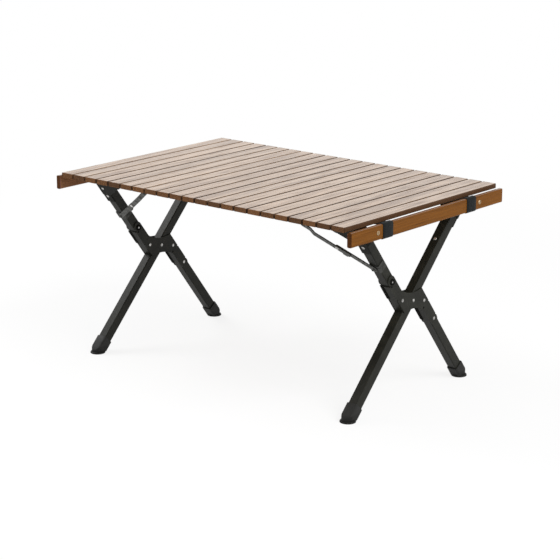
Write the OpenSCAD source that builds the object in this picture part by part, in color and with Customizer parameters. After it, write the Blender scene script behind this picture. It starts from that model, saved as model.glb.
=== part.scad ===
// Roll top camp table: a deck of wooden slats on elastic cords, carried by
// two pairs of scissor legs whose rails hinge in the middle.
// X runs along the table, Y across it and Z up, with the origin on the floor
// under the middle of the table. The near side is -Y. Millimetres.

/* [Table] */
// Height of the top surface above the floor
table_h = 482; // [470:1:500]
// Height of the scissor pivots above the floor
pivot_z = 245.5; // [235:0.5:255]
// Distance of each rail's axis from the ends of the slats
rail_inset = 102; // [95:1:110]
// Distance of each pair of legs from the deck's outer edge
leg_inset = 39.5; // [36:0.5:43.5]

/* [Slats] */
// Width of a slat
slat_w = 38; // [37:0.5:40]
// Gap between two slats
slat_gap = 3; // [2.5:0.1:3.5]
// Thickness of a slat
slat_t = 12; // [10:0.5:14]
// Length of a slat, across the table
slat_l = 600; // [560:5:660]
// Edge radius of a slat
slat_round = 2; // [1:0.25:3]

/* [Cords] */
// Diameter of an elastic cord
cord_d = 3; // [2:0.5:4]
// Room around a cord in its bore
cord_clear = 0.5; // [0.3:0.1:0.8]
// Distance of each cord from the ends of the slats
cord_inset = 75; // [50:5:95]
// Depth of the blind bores in the two last slats
cord_depth = 26; // [15:1:32]

/* [End bars] */
// Thickness of an end bar
bar_t = 12; // [10:0.5:14]
// Height of an end bar
bar_h = 34; // [30:1:38]
// Gap between an end bar and the last slat
bar_gap = 7.5; // [6:0.5:9]
// Depth of an end bar's top below the table's top
bar_drop = 10; // [8:0.5:13]
// Edge radius of an end bar
bar_round = 3; // [1.5:0.5:4.5]
// Diameter of a stud behind an end bar
stud_d = 8; // [6:0.5:9]
// Length of a stud behind an end bar
stud_l = 12; // [9:0.5:14]
// Diameter of the screw through an end bar
screw_d = 5; // [4:0.5:6]
// Diameter of the screw's head
screw_head_d = 11; // [9:0.5:13]
// Height of the screw's head
screw_head_h = 2; // [1.5:0.25:3]
// Distance of a stud outside its rail's axis
stud_out = 4; // [3:0.5:5]

/* [Straps] */
// Width of the webbing
strap_w = 38; // [30:1:45]
// Thickness of the webbing
strap_t = 1.6; // [1:0.1:2]
// Distance of each strap's middle from the ends of the slats
strap_inset = 134; // [132:1:145]
// Length of a strap under its slat
strap_tail = 24; // [16:1:24]

/* [Legs] */
// Side of the square leg tube
leg_w = 25; // [24:0.5:26]
// Wall of the leg and rail tubes
tube_wall = 1.5; // [1.2:0.1:2]
// Corner radius of the tubes
tube_round = 2.5; // [2:0.25:4]
// Distance of each half leg's axis from the scissor pivot
leg_offset = 29; // [28.5:0.1:30]
// Gap between a half leg's end and the one-piece leg
leg_stop = 0.4; // [0.3:0.1:0.8]

/* [Centre brackets] */
// Thickness of the steel plates
plate_t = 2; // [1.5:0.25:2.5]
// Room between a bracket and the one-piece leg
plate_clear = 0.25; // [0.2:0.05:0.4]
// Distance of the inner rivets from the pivot, along the leg
rivet_inner = 34; // [30:1:40]
// Distance of the outer rivets from the pivot, along the leg
rivet_outer = 102; // [95:1:108]
// Length of the bracket past the outer rivets
bracket_end = 17; // [14:0.5:20]
// Start of the bracket's hollowed edge, along the leg
bracket_arc = 57; // [50:1:62]
// Depth of the bracket's hollowed edge
bracket_sag = 9; // [6:0.5:11]
// Start of the folded web, along the leg
web_from = 50; // [46:1:56]
// End of the folded web, along the leg
web_to = 98; // [90:1:100]
// Diameter of the pivot rivet
pivot_d = 8; // [7:0.5:9]
// Diameter of the other rivets
rivet_d = 6; // [5:0.5:7]
// Diameter of the rivet heads
rivet_head_d = 10.8; // [9.5:0.1:12]
// Height of the rivet heads
rivet_head = 2; // [1.5:0.25:2.5]
// Running clearance of a pin in its bore, on the radius
pin_clear = 0.05; // [0.03:0.01:0.09]

/* [Rails] */
// Height of a rail across its leg frame
rail_w = 20; // [18:0.5:21]
// Thickness of a rail through its leg frame
rail_t = 18; // [16:0.5:19]
// Clearance between a rail and the plates beside it
rail_clear = 0.3; // [0.2:0.05:0.5]
// Distance of the rails' pivots from the legs
rail_pivot_in = 58; // [56:1:62]
// Gap between a rail's outer end and the leg
rail_leg_gap = 3.5; // [3:0.5:6]
// Gap between the two halves of a rail
rail_split = 0.5; // [0.3:0.1:1]
// Diameter of the hinge knuckles in the middle of a rail
hinge_d = 8; // [7:0.5:8.5]
// Diameter of the hinge pin
hinge_pin_d = 4; // [3:0.5:5]
// Length of the hinge along its pin
hinge_l = 10.8; // [9:0.3:11.1]
// Height of the hinge's axis over the rail's top
hinge_lift = 0.5; // [0.3:0.1:0.8]
// Gap between two knuckles
hinge_gap = 0.3; // [0.2:0.05:0.5]
// Length of a corner plate along the leg
corner_l = 70; // [60:1:80]
// Length of a corner plate's side flange
corner_flange = 45; // [40:1:55]
// Radius of a corner plate round the rail's pivot
corner_ear = 12; // [10:0.5:13]
// Thickness of the stud seats
seat_t = 6; // [4:0.5:7]

/* [Braces] */
// Distance of the brace's rail rivet from the leg
brace_span = 156; // [148:1:162]
// Depth of the brace's rail rivet below the rail's axis
brace_rail_drop = 5; // [4:0.5:6]
// Distance of the brace's leg rivet below the rail's axis
brace_leg_drop = 125; // [118:1:130]
// Width of a brace bar
brace_w = 12.5; // [11:0.5:14]
// Thickness of a brace bar
brace_t = 2.5; // [2:0.25:3]
// Share of the brace's length that is above its knuckle
brace_knuckle = 0.488; // [0.46:0.004:0.5]
// Length of the upper bar past the knuckle
brace_over = 31; // [28:1:36]
// Start of the upper bar's joggle, from its rail rivet
joggle_from = 20; // [16:1:24]
// Length of the upper bar's joggle
joggle_l = 14; // [10:1:18]
// Diameter of the brace rivets
brace_pin_d = 5; // [4:0.5:6]
// Gap between two layers of the brace
brace_gap = 0.4; // [0.3:0.05:0.6]
// Width of the band round the leg
saddle_w = 22; // [18:1:26]
// Thickness of the band round the leg
saddle_t = 1.5; // [1:0.25:2]
// Reach of the band behind the leg's axis
saddle_back = 8; // [4:1:11]

/* [Feet] */
// Wall of a foot round its leg
foot_wall = 2.5; // [2:0.25:3.5]
// Length of a foot along its leg
foot_l = 44; // [42:1:50]
// Diameter of a foot's base
foot_d = 39; // [36:0.5:42]
// Distance of a foot's base inwards from its leg's line
foot_in = 4.5; // [2:0.5:5]
// Diameter of a foot's upright round toe
toe_d = 31; // [30.5:0.5:34]
// Thickness of a foot's base
foot_base = 4.5; // [3.5:0.5:6]

/* [Hidden] */
$fn = 48;
arc_fn = 96;
over = 1;
slat_count = 22;
sides = [["right", 1], ["left", -1]];

pitch = slat_w + slat_gap;
last_x = slat_count*pitch/2 - slat_gap/2;
slat_z = table_h - slat_t/2;
under_z = table_h - slat_t;
bar_in = last_x + bar_gap;
bar_x = bar_in + bar_t/2;
bar_z = table_h - bar_drop - bar_h/2;
cord_y = slat_l/2 - cord_inset;
strap_y = slat_l/2 - strap_inset;

// The rails' upper corners lie just under the slats.
rail_y = slat_l/2 - rail_inset;
leg_x = last_x - leg_inset;
rail_z = under_z - norm([rail_w, leg_w])/2;
rail_out = leg_w/2 - rail_clear;
rail_in = rail_out - rail_t;
pivot_rise = rail_z - pivot_z;
leg_reach = norm([rail_y, pivot_rise]);
far_tilt = atan2(rail_y, pivot_rise);
near_tilt = far_tilt - asin(leg_offset/leg_reach);
spread = far_tilt + near_tilt;
near_reach = sqrt(pow(leg_reach, 2) - pow(leg_offset, 2));
far_foot_y = -rail_z/cos(far_tilt);
near_foot_y = -(rail_z + 2*leg_offset*sin(near_tilt))/cos(near_tilt);

pivot_x = leg_x - rail_pivot_in;
rail_end_x = leg_x - leg_w/2 - rail_leg_gap;
hinge_y = rail_w/2 + hinge_lift;
knuckle_step = hinge_l/3;

stud_y = rail_y + stud_out;
seat_clear = 0.3;
strap_clear = 0.05;
seat_wall = 4;
seat_rise = 8;
seat_x = bar_in - strap_t - 2*seat_clear;

bracket_in = leg_w/2 + plate_clear;
bracket_out = bracket_in + plate_t;
strip_in = leg_offset - leg_w/2;
strip_out = leg_offset + leg_w/2;
strip_start = 1.4;

// Layers of the near frame's outer face, from the leg's axis outwards.
plate_in = leg_w/2;
plate_out = plate_in + plate_t;
lower_in = plate_in + saddle_t + brace_gap;
lower_out = lower_in + brace_t;
upper_in = lower_out + brace_gap;
upper_out = upper_in + brace_t;

brace_rail_x = leg_x - brace_span;
brace_run = [brace_span, brace_rail_drop - brace_leg_drop];
brace_l = norm(brace_run);
brace_turn = atan2(brace_run[1], brace_run[0]);
knuckle_l = brace_l*brace_knuckle;
head_share = 1.8;
head_root = 1;
root_share = 0.4;

// A leg ends one wall above the place where its boot's lowest corner is halfway up the base.
boot_w = leg_w + 2*foot_wall;
function leg_end(tilt) = (foot_base/2 + boot_w/2*sin(tilt))/cos(tilt) + foot_wall;

function pad(i) = i < 10 ? str("0", i) : str(i);
function slat_name(i) = str("slat_", pad(i));
function both(name) = [for (s = sides) str(name, "_", s[0])];

wood = [0.50, 0.37, 0.28];
bar_wood = [0.55, 0.31, 0.14];
black = [0.12, 0.12, 0.11];
steel_black = [0.16, 0.16, 0.15];
bright = [0.75, 0.75, 0.74];
webbing = [0.10, 0.10, 0.11];
cord_colour = [0.08, 0.08, 0.08];
rubber = [0.06, 0.06, 0.06];
grey = [0.42, 0.43, 0.42];

// Places and turns

module on_side(side) {
    if (side > 0) children();
    else mirror([1, 0, 0]) children();
}

// The near leg frame: X along its rail, Y up its legs, Z outwards.
module near_frame() {
    translate([0, -rail_y, rail_z]) rotate([90 + near_tilt, 0, 0]) children();
}

// The far leg frame: X along its rail, Y up its legs, Z inwards.
module far_frame() {
    translate([0, rail_y, rail_z]) rotate([90 - far_tilt, 0, 0]) children();
}

// Turns what is drawn with Z outwards round to the far frame's outer side.
module facing(out) {
    mirror([0, 0, out > 0 ? 0 : 1]) children();
}

// The near frame's pivot, on the middle plane of the legs.
module at_pivot() {
    near_frame() translate([leg_x, -near_reach, -leg_offset]) children();
}

// Extrudes a drawing in Y and Z along X, about its middle.
module along_x(l) {
    rotate([90, 0, 90]) linear_extrude(l, center = true) children();
}

// Extrudes a drawing in X and Z along Y, about its middle.
module along_y(l) {
    rotate([90, 0, 0]) linear_extrude(l, center = true) children();
}

module pin_x(d, l) {
    rotate([0, 90, 0]) cylinder(d = d, h = l, center = true);
}

// Shared shapes

module round_rect(w, h, r) {
    square([w - 2*r, h], center = true);
    square([w, h - 2*r], center = true);
    for (x = [-1, 1], y = [-1, 1])
        translate([x*(w/2 - r), y*(h/2 - r)]) circle(r);
}

module tube_section(w, h) {
    difference() {
        round_rect(w, h, tube_round);
        square([w - 2*tube_wall, h - 2*tube_wall], center = true);
    }
}

// A leg tube along Y, between two places on it.
module leg_tube(from, to) {
    translate([0, (from + to)/2, 0]) along_y(to - from) tube_section(leg_w, leg_w);
}

// A low domed head on the XY plane, with a root sunk into what carries it.
module dome(d, h) {
    r = (pow(d/2, 2) + pow(h, 2))/(2*h);
    rotate_extrude() {
        intersection() {
            translate([0, h - r]) circle(r);
            square([d/2, h]);
        }
        translate([0, -head_root]) square([root_share*d/2, head_root + h/2]);
    }
}

// A rivet along X with a head at each end.
module rivet(d, grip) {
    pin_x(d, grip);
    for (turn = [90, -90])
        rotate([0, turn, 0]) translate([0, 0, grip/2]) dome(rivet_head_d, rivet_head);
}

// A bar with round ends from the origin along X, past both its rivets.
module slot(l, w) {
    translate([0, -w/2]) square([l, w]);
    for (x = [0, l]) translate([x, 0]) circle(d = w);
}

// Top

module cord_bores(from, to) {
    for (y = [-cord_y, cord_y])
        translate([(from + to)/2, y, slat_z]) pin_x(cord_d + 2*cord_clear, to - from);
}

module slat(i) {
    x = (i - (slat_count + 1)/2)*pitch;
    from = i == 1 ? x + slat_w/2 - cord_depth : x - slat_w/2 - over;
    to = i == slat_count ? x - slat_w/2 + cord_depth : x + slat_w/2 + over;
    color(wood) difference() {
        translate([x, 0, slat_z]) along_y(slat_l) round_rect(slat_w, slat_t, slat_round);
        cord_bores(from, to);
    }
}

module deck_cords() {
    l = 2*(last_x - slat_w + cord_depth - cord_clear);
    color(cord_colour) for (y = [-cord_y, cord_y])
        translate([0, y, slat_z]) pin_x(cord_d, l);
}

module end_bar(side) {
    color(bar_wood) on_side(side) difference() {
        translate([bar_x, 0, bar_z]) along_y(slat_l) round_rect(bar_t, bar_h, bar_round);
        for (y = [-stud_y, stud_y])
            translate([bar_x, y, bar_z]) pin_x(screw_d + 2*pin_clear, bar_t + 2*over);
    }
}

module bar_studs(side) {
    color(bright) on_side(side) for (y = [-stud_y, stud_y]) translate([0, y, bar_z]) {
        translate([bar_in - stud_l/2, 0, 0]) pin_x(stud_d, stud_l);
        translate([bar_x - over/2, 0, 0]) pin_x(screw_d, bar_t + over);
        translate([bar_in + bar_t, 0, 0]) rotate([0, 90, 0]) dome(screw_head_d, screw_head_h);
    }
}

module strap_loops(side) {
    tail_from = last_x - strap_tail;
    tail_to = bar_in - strap_t/2;
    color(webbing) on_side(side) for (y = [-strap_y, strap_y]) translate([0, y, 0]) {
        along_y(strap_w) union() {
            difference() {
                translate([bar_x, bar_z])
                    round_rect(bar_t + 2*strap_t, bar_h + 2*strap_t, bar_round + strap_t);
                translate([bar_x, bar_z]) round_rect(bar_t, bar_h, bar_round);
            }
            translate([tail_from, under_z - strap_clear - strap_t]) square([tail_to - tail_from, strap_t]);
        }
    }
}

// Legs

module far_leg(side) {
    color(black) on_side(side) far_frame() translate([leg_x, 0, 0]) difference() {
        leg_tube(far_foot_y + leg_end(far_tilt), rail_w/2);
        translate([0, -leg_reach, 0]) pin_x(pivot_d + 2*pin_clear, leg_w + 2*over);
    }
}

// The room that the one-piece leg takes up in the near frame.
module far_leg_room() {
    translate([0, -near_reach, -leg_offset]) rotate([-spread, 0, 0])
        cube([leg_w + 2*over, leg_reach, leg_w + 2*leg_stop], center = true);
}

module bracket_bores(d, way) {
    for (along = [rivet_inner, rivet_outer])
        translate([0, way*along, way*leg_offset]) pin_x(d, 2*bracket_out + 2*over);
}

module near_upper_leg(side) {
    color(black) on_side(side) near_frame() translate([leg_x, 0, 0]) difference() {
        leg_tube(-near_reach - leg_offset/tan(spread), rail_w/2);
        far_leg_room();
        translate([0, -near_reach, -leg_offset]) bracket_bores(rivet_d + 2*pin_clear, 1);
    }
}

module near_lower_leg(side) {
    color(black) on_side(side) near_frame() translate([leg_x, 0, 0]) difference() {
        translate([0, 0, -2*leg_offset])
            leg_tube(near_foot_y + leg_end(near_tilt), -near_reach + leg_offset/tan(spread));
        far_leg_room();
        translate([0, -near_reach, -leg_offset]) bracket_bores(rivet_d + 2*pin_clear, -1);
    }
}

// Centre brackets, drawn along the leg and across it, about the pivot

module bracket_hub() {
    rise = [bracket_arc, strip_in];
    tip = [-strip_start, -strip_out];
    chord = norm(rise - tip);
    reach = pow(chord, 2)/(8*bracket_sag) + bracket_sag/2;
    out = [rise[1] - tip[1], tip[0] - rise[0]]/chord;
    centre = (rise + tip)/2 + out*(reach - bracket_sag);
    // The hub's corners lie inside the strips, so the hollows run out into them.
    lap = [bracket_arc + leg_w/2, leg_offset];
    difference() {
        polygon([lap, [strip_out, strip_out], -tip, -lap, [-strip_out, -strip_out], tip]);
        for (way = [1, -1]) translate(way*centre) circle(reach, $fn = arc_fn);
    }
}

module bracket_strip() {
    end = rivet_outer + bracket_end - leg_w/2;
    difference() {
        union() {
            translate([leg_w, strip_in]) square([end - leg_w, leg_w]);
            translate([end, leg_offset]) circle(d = leg_w);
        }
        for (x = [web_from - plate_t/2, web_to + plate_t/2])
            translate([x, strip_out]) circle(plate_t);
    }
}

module bracket_plate() {
    bracket_hub();
    bracket_strip();
    rotate(180) bracket_strip();
}

module centre_bracket(side) {
    color(steel_black) on_side(side) at_pivot() difference() {
        union() {
            for (x = [-1, 1]) translate([x*(bracket_in + plate_t/2), 0, 0])
                along_x(plate_t) bracket_plate();
            translate([-bracket_out, web_from, strip_out])
                cube([2*bracket_out, web_to - web_from, plate_t]);
            translate([-bracket_out, -web_to, -strip_in])
                cube([2*bracket_out, web_to - web_from, plate_t]);
        }
        pin_x(pivot_d + 2*pin_clear, 2*bracket_out + 2*over);
        for (way = [1, -1]) bracket_bores(rivet_d + 2*pin_clear, way);
    }
}

module centre_rivets(side) {
    color(bright) on_side(side) at_pivot() {
        rivet(pivot_d, 2*bracket_out);
        for (way = [1, -1], along = [rivet_inner, rivet_outer])
            translate([0, way*along, way*leg_offset]) rivet(rivet_d, 2*bracket_out);
    }
}

// Feet: a sleeve round the tilted tube that ends in an upright round toe on a level base

module along_boot(tilt, lean) {
    rotate([lean*tilt, 0, 0]) children();
}

module toe_plan() {
    circle(d = toe_d);
    translate([-toe_d/2 - over, 0]) square([toe_d + 2*over, foot_l + boot_w]);
}

module boot(tilt, lean) {
    difference() {
        union() {
            translate([0, -lean*foot_in, 0]) cylinder(d = foot_d, h = foot_base);
            intersection() {
                along_boot(tilt, lean) translate([0, 0, (foot_l - boot_w)/2])
                    cube([boot_w, boot_w, foot_l + boot_w], center = true);
                translate([0, -lean*foot_in, foot_base/2]) scale([1, -lean, 1])
                    linear_extrude(foot_l + boot_w) toe_plan();
            }
        }
        along_boot(tilt, lean) translate([0, 0, leg_end(tilt) + foot_l/2])
            cube([leg_w, leg_w, foot_l], center = true);
    }
}

module near_foot(side) {
    y = rail_y + far_foot_y*sin(far_tilt);
    color(rubber) on_side(side) translate([leg_x, y, 0]) boot(far_tilt, -1);
}

module far_foot(side) {
    y = -rail_y - near_foot_y*sin(near_tilt) + 2*leg_offset*cos(near_tilt);
    color(rubber) on_side(side) translate([leg_x, y, 0]) boot(near_tilt, 1);
}

// Corner plates, with out telling on which side of its frame the plate lies

module corner_outline() {
    leg_in = leg_x - leg_w/2;
    leg_out = leg_x + leg_w/2;
    translate([pivot_x, 0]) circle(corner_ear);
    polygon([[pivot_x, corner_ear], [leg_in, rail_w/2], [leg_out + plate_t, rail_w/2],
        [leg_out + plate_t, -corner_flange], [leg_out, -corner_flange], [leg_out, -corner_l],
        [leg_in, -corner_l], [leg_in, -corner_flange], [pivot_x, -corner_ear]]);
}

module corner_plate(out) {
    facing(out) {
        translate([0, 0, plate_in]) linear_extrude(plate_t) corner_outline();
        translate([leg_x + leg_w/2, -corner_flange, -plate_in])
            cube([plate_t, corner_flange + rail_w/2, plate_in + plate_out]);
        translate([pivot_x, 0, rail_in]) cylinder(d = rivet_d, h = plate_in + plate_t/2 - rail_in);
        translate([pivot_x, 0, plate_out]) dome(rivet_head_d, rivet_head);
    }
}

// The open seat that a stud drops into, at the near side or mirrored.
module stud_seat() {
    top = bar_z - stud_d/2 - seat_clear;
    wall_y = stud_y - stud_d/2 - seat_clear;
    from_x = leg_x + leg_w/2;
    translate([from_x, -stud_y - stud_d, top - seat_t])
        cube([seat_x - from_x, stud_y + stud_d - wall_y + seat_wall, seat_t]);
    translate([from_x, -wall_y, top - seat_t]) cube([seat_x - from_x, seat_wall, seat_t + seat_rise]);
}

module near_corner(side) {
    color(steel_black) on_side(side) union() {
        near_frame() corner_plate(1);
        stud_seat();
    }
}

module far_corner(side) {
    color(steel_black) on_side(side) union() {
        far_frame() corner_plate(-1);
        mirror([0, 1, 0]) stud_seat();
    }
}

// Rails, whose halves hinge on top in the middle

// One step of the hinge, with room at its ends and sides.
module knuckle(k, room) {
    translate([0, hinge_y, rail_in + k*knuckle_step - room])
        cylinder(d = hinge_d + 2*room, h = knuckle_step - hinge_gap + 2*room);
}

// The right half carries the two outer knuckles and the left half the inner one.
module half_rail(side) {
    own = side > 0 ? [0, 2] : [1];
    other = side > 0 ? [1] : [0, 2];
    difference() {
        union() {
            translate([(rail_split/2 + rail_end_x)/2, 0, rail_in + rail_t/2])
                along_x(rail_end_x - rail_split/2) tube_section(rail_w, rail_t);
            for (k = own) knuckle(k, 0);
        }
        for (k = other) knuckle(k, hinge_gap);
        translate([0, hinge_y, rail_in - over])
            cylinder(d = hinge_pin_d + 2*pin_clear, h = hinge_l + 2*over);
        translate([pivot_x, 0, rail_in - over])
            cylinder(d = rivet_d + 2*pin_clear, h = rail_t + 2*over);
    }
}

module near_rail(side) {
    color(black) on_side(side) near_frame() {
        half_rail(side);
        translate([brace_rail_x, -brace_rail_drop, rail_out - tube_wall/2])
            cylinder(d = brace_pin_d, h = tube_wall/2 + 2*rail_clear + brace_t);
        translate([brace_rail_x, -brace_rail_drop, rail_out + 2*rail_clear + brace_t])
            dome(brace_pin_d*head_share, rivet_head/2);
    }
}

module far_rail(side) {
    color(black) on_side(side) far_frame() facing(-1) half_rail(side);
}

module rail_pin() {
    translate([0, hinge_y, rail_in]) {
        cylinder(d = hinge_pin_d, h = hinge_l - hinge_gap);
        mirror([0, 0, 1]) dome(hinge_pin_d*head_share, rivet_head/2);
    }
}

module near_rail_pin() {
    color(bright) near_frame() rail_pin();
}

module far_rail_pin() {
    color(bright) far_frame() facing(-1) rail_pin();
}

// Braces

// Drawn from the rail's rivet towards the leg's rivet.
module along_brace() {
    near_frame() translate([brace_rail_x, -brace_rail_drop, 0]) rotate(brace_turn) children();
}

module brace_upper(side) {
    l = knuckle_l + brace_over;
    base = rail_out + rail_clear;
    joggle_to = joggle_from + joggle_l;
    color(grey) on_side(side) along_brace() {
        difference() {
            intersection() {
                linear_extrude(2*upper_out) slot(l, brace_w);
                along_y(2*brace_w) polygon([[-brace_w, base], [joggle_from, base], [joggle_to, upper_in],
                    [l + brace_w, upper_in], [l + brace_w, upper_out], [joggle_to, upper_out],
                    [joggle_from, base + brace_t], [-brace_w, base + brace_t]]);
            }
            cylinder(d = brace_pin_d + 2*pin_clear, h = 4*base, center = true);
        }
        translate([knuckle_l, 0, upper_out]) dome(brace_pin_d*head_share, rivet_head/2);
        brace_stop(l);
    }
}

// A tab bent down beside the lower bar, which stops the straight brace.
module brace_stop(l) {
    edge = brace_w/2 + brace_gap;
    translate([l - brace_w, -edge - brace_t, lower_in]) cube([brace_w, brace_t, upper_out - lower_in]);
    translate([l - brace_w, -edge - brace_t, upper_in]) cube([brace_w, brace_t + brace_w/2, brace_t]);
}

module brace_lower(side) {
    l = brace_l - knuckle_l;
    color(grey) on_side(side) along_brace() translate([brace_l, 0, 0]) rotate(180) {
        difference() {
            translate([0, 0, lower_in]) linear_extrude(brace_t) slot(l, brace_w);
            cylinder(d = brace_pin_d + 2*pin_clear, h = 4*lower_out, center = true);
        }
        translate([l, 0, lower_in]) mirror([0, 0, 1]) dome(brace_pin_d*head_share, rivet_head/2);
    }
}

module brace_saddle(side) {
    outer = leg_w + 2*saddle_t;
    pin_to = lower_out + brace_gap;
    color(bright) on_side(side) near_frame() translate([leg_x, -brace_leg_drop, 0]) {
        difference() {
            translate([-outer/2, -saddle_w/2, -saddle_back])
                cube([outer, saddle_w, saddle_back + leg_w/2 + saddle_t]);
            translate([-leg_w/2, -saddle_w, -leg_w]) cube([leg_w, 2*saddle_w, leg_w + leg_w/2]);
        }
        translate([0, 0, leg_w/2 + saddle_t/2]) cylinder(d = brace_pin_d, h = pin_to - leg_w/2 - saddle_t/2);
        translate([0, 0, pin_to]) dome(brace_pin_d*head_share, rivet_head/2);
    }
}

for (i = [1:slat_count]) slat(i);
deck_cords();
near_rail_pin();
far_rail_pin();
for (s = sides) {
    end_bar(s[1]);
    bar_studs(s[1]);
    strap_loops(s[1]);
    far_leg(s[1]);
    near_upper_leg(s[1]);
    near_lower_leg(s[1]);
    centre_bracket(s[1]);
    centre_rivets(s[1]);
    near_foot(s[1]);
    far_foot(s[1]);
    near_corner(s[1]);
    far_corner(s[1]);
    near_rail(s[1]);
    far_rail(s[1]);
    brace_upper(s[1]);
    brace_lower(s[1]);
    brace_saddle(s[1]);
}
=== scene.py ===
import math
import bmesh
import bpy
from mathutils import Matrix, Vector


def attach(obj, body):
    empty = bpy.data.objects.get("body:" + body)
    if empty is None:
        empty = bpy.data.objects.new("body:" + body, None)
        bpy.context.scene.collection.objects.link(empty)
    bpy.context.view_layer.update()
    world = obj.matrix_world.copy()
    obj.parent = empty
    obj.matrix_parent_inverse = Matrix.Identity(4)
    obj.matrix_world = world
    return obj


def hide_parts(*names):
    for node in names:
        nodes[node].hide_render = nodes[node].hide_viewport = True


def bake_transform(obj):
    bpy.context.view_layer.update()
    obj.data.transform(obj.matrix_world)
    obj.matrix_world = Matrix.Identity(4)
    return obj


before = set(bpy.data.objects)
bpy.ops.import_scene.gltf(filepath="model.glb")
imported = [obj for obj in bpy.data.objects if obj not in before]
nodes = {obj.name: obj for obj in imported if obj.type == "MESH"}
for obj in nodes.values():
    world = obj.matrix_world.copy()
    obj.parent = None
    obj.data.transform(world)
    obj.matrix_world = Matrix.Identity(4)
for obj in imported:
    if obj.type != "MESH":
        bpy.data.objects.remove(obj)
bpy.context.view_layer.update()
scene = bpy.context.scene
print("frame loaded:", len(nodes), "nodes")


class Wire:  # a node socket that adds up like a number
    def __init__(self, tree, socket=None):
        self.tree, self.socket = tree, socket

    def make(self, kind, settings=None, sockets=None, out=0):
        node = self.tree.nodes.new(kind)
        for name, value in (settings or {}).items():
            setattr(node, name, value)
        for name, value in (sockets or {}).items():
            if isinstance(value, Wire):
                self.tree.links.new(value.socket, node.inputs[name])
            else:
                node.inputs[name].default_value = value
        return Wire(self.tree, node.outputs[out] if len(node.outputs) else None)

    def pick(self, out):
        return Wire(self.tree, self.socket.node.outputs[out])

    def calc(self, operation, a, b=0.0):
        return self.make("ShaderNodeMath", {"operation": operation}, {0: a, 1: b})

    def __add__(self, b): return self.calc("ADD", self, b)
    def __radd__(self, b): return self.calc("ADD", b, self)
    def __sub__(self, b): return self.calc("SUBTRACT", self, b)
    def __rsub__(self, b): return self.calc("SUBTRACT", b, self)
    def __mul__(self, b): return self.calc("MULTIPLY", self, b)
    def __rmul__(self, b): return self.calc("MULTIPLY", b, self)
    def __truediv__(self, b): return self.calc("DIVIDE", self, b)
    def __rtruediv__(self, b): return self.calc("DIVIDE", b, self)
    def __abs__(self): return self.calc("ABSOLUTE", self)

    def floor(self): return self.calc("FLOOR", self)
    def sine(self): return self.calc("SINE", self)

    def band(self, low, high):  # 0 below low, 1 above high
        return self.make("ShaderNodeMapRange", {"interpolation_type": "SMOOTHSTEP"},
                         {"Value": self, "From Min": low, "From Max": high})

    def mix(self, a, b, how="MIX"):  # self is the share of colour b
        def rgba(c): return c if isinstance(c, Wire) else (*c, 1)
        return self.make("ShaderNodeMix", {"data_type": "RGBA", "blend_type": how},
                         {0: self, 6: rgba(a), 7: rgba(b)}, out=2)

    def scaled(self, scale, shift=(0, 0, 0)):
        return self.make("ShaderNodeMapping", None, {"Vector": self, "Location": shift, "Scale": scale})

    def noise(self, detail, rough, scale=1.0):
        return self.make("ShaderNodeTexNoise", None,
                         {"Vector": self, "Scale": scale, "Detail": detail, "Roughness": rough})

    def bump(self, strength, distance):
        return self.make("ShaderNodeBump", None,
                         {"Height": self, "Strength": strength, "Distance": distance})


def newFinish(name, fixed, varying):
    mat = bpy.data.materials.new(name)
    mat.use_nodes = True
    tree = mat.node_tree
    shader = tree.nodes["Principled BSDF"]
    for socket, value in fixed.items():
        shader.inputs[socket].default_value = value
    for socket, wire in varying(Wire(tree)).items():
        tree.links.new(wire.socket, shader.inputs[socket])
    return mat


def place(w):
    return w.make("ShaderNodeTexCoord", out="Object")


def split(w):
    xyz = w.make("ShaderNodeSeparateXYZ", None, {0: w})
    return xyz, xyz.pick("Y"), xyz.pick("Z")


# camera at the photograph's viewing angle
view = {"lens": 119.39, "sensor": 36, "azimuth": 39.924, "elevation": 15.395, "roll": 0.128,
        "place": (2.8952, -3.4442, 1.4587)}


def setCamera(v):
    a, e, r = (math.radians(v[k]) for k in ("azimuth", "elevation", "roll"))
    back = Vector((math.sin(a)*math.cos(e), -math.cos(a)*math.cos(e), math.sin(e)))
    right = Vector((math.cos(a), math.sin(a), 0))
    up = back.cross(right)
    side = right*math.cos(r) + up*math.sin(r)
    top = up*math.cos(r) - right*math.sin(r)
    data = bpy.data.cameras.new("photoCamera")
    data.lens, data.sensor_width = v["lens"], v["sensor"]
    cam = bpy.data.objects.new("photoCamera", data)
    cam.matrix_world = Matrix.Translation(v["place"]) @ Matrix((side, top, back)).transposed().to_4x4()
    scene.collection.objects.link(cam)
    scene.camera = cam


setCamera(view)
scene.view_settings.view_transform = "Standard"

# studio: white surround, a big soft key from the right and a softbox from the upper left
studio = {"surround": 0.42, "floorSize": 14.0, "floorWhite": 0.95, "floorGlow": 0.84, "clear": (0.9, 2.4),
          "lamps": [("key", (3.4, -0.5, 3.2), 2.6, 150.0), ("left", (-2.7, -0.4, 2.5), 1.5, 64.0)],
          "aim": (0, 0, 0.3)}
white = (1, 1, 1, 1)


def backdropRay(w):  # 1 where the camera, a gloss or a glass ray sees the backdrop
    ray = w.make("ShaderNodeLightPath", out="Is Camera Ray")
    seen = ray + ray.pick("Is Glossy Ray") + ray.pick("Is Transmission Ray")
    return w.calc("MINIMUM", seen, 1.0)


def emptyTree(data):
    data.use_nodes = True
    data.node_tree.nodes.clear()
    return Wire(data.node_tree)


def buildWorld(s):
    scene.world = bpy.data.worlds.new("studio")
    w = emptyTree(scene.world)
    soft = w.make("ShaderNodeBackground", None, {"Color": white, "Strength": s["surround"]})
    backdrop = w.make("ShaderNodeBackground", None, {"Color": white, "Strength": 1.0})
    both = w.make("ShaderNodeMixShader", None, {0: backdropRay(w), 1: soft, 2: backdrop})
    w.make("ShaderNodeOutputWorld", None, {"Surface": both})


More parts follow.
